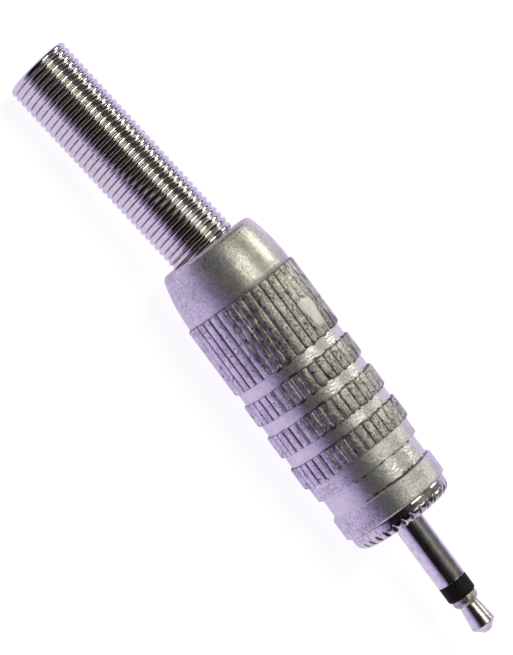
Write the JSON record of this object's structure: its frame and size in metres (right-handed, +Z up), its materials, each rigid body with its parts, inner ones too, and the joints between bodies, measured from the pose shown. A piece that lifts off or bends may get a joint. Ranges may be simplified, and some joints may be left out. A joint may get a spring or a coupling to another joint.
{
  "type": "mono jack plug",
  "caption": "Straight mono jack plug: knurled metal shell screwed onto a toothed flange, slim pin with a black insulating ring, close-wound strain relief spring at the back.",
  "frame": {"origin": "on the plug's axis, at the flange's front face, where the pin's shank begins", "axes": "+X along the pin to its tip, +Z up with the plug lying on its knurled ribs and on the end of its leaning spring"},
  "size_m": [0.0574, 0.0102, 0.0102],
  "materials": {
    "shell_metal": "matte nickel-plated die-cast metal, grainy",
    "spring_wire": "bright nickel-plated steel wire",
    "plated_contact": "bright nickel-plated turned metal",
    "black_plastic": "satin black moulded plastic",
    "liner_plastic": "dull black sleeving",
    "tinned_tag": "dull tinned stamped sheet"
  },
  "bodies": {
    "shell": {"shell": "shell_metal"},
    "spring": {"strain_relief_spring": "spring_wire"},
    "liner": {"insulating_liner": "liner_plastic"},
    "pin_insert": {"sleeve_body": "plated_contact", "front_insulator": "black_plastic", "tip_contact": "plated_contact", "rear_insulator": "black_plastic", "tip_lug": "tinned_tag", "cable_clamp": "tinned_tag"}
  },
  "joints": [
    {"name": "insert_turn", "type": "hinge", "parent": "shell", "child": "liner", "pos_m": [0, 0, 0], "axis": [1, 0, 0], "range_deg": [0, 2525]},
    {"name": "insert_out", "type": "slide", "parent": "liner", "child": "pin_insert", "axis": [1, 0, 0], "range_m": [0, 0.0035]},
    {"name": "spring_bend", "type": "hinge", "parent": "shell", "child": "spring", "pos_m": [-0.02562, 0, 0], "axis": [0, 0, 1], "range_deg": [-23.6, 16.4], "stiffness_Nm_per_rad": 0.01, "deforming": ["strain_relief_spring"]}
  ],
  "couplings": [
    {"joint": "insert_turn", "follows": "insert_out", "rad_per_m": 12566}
  ]
}
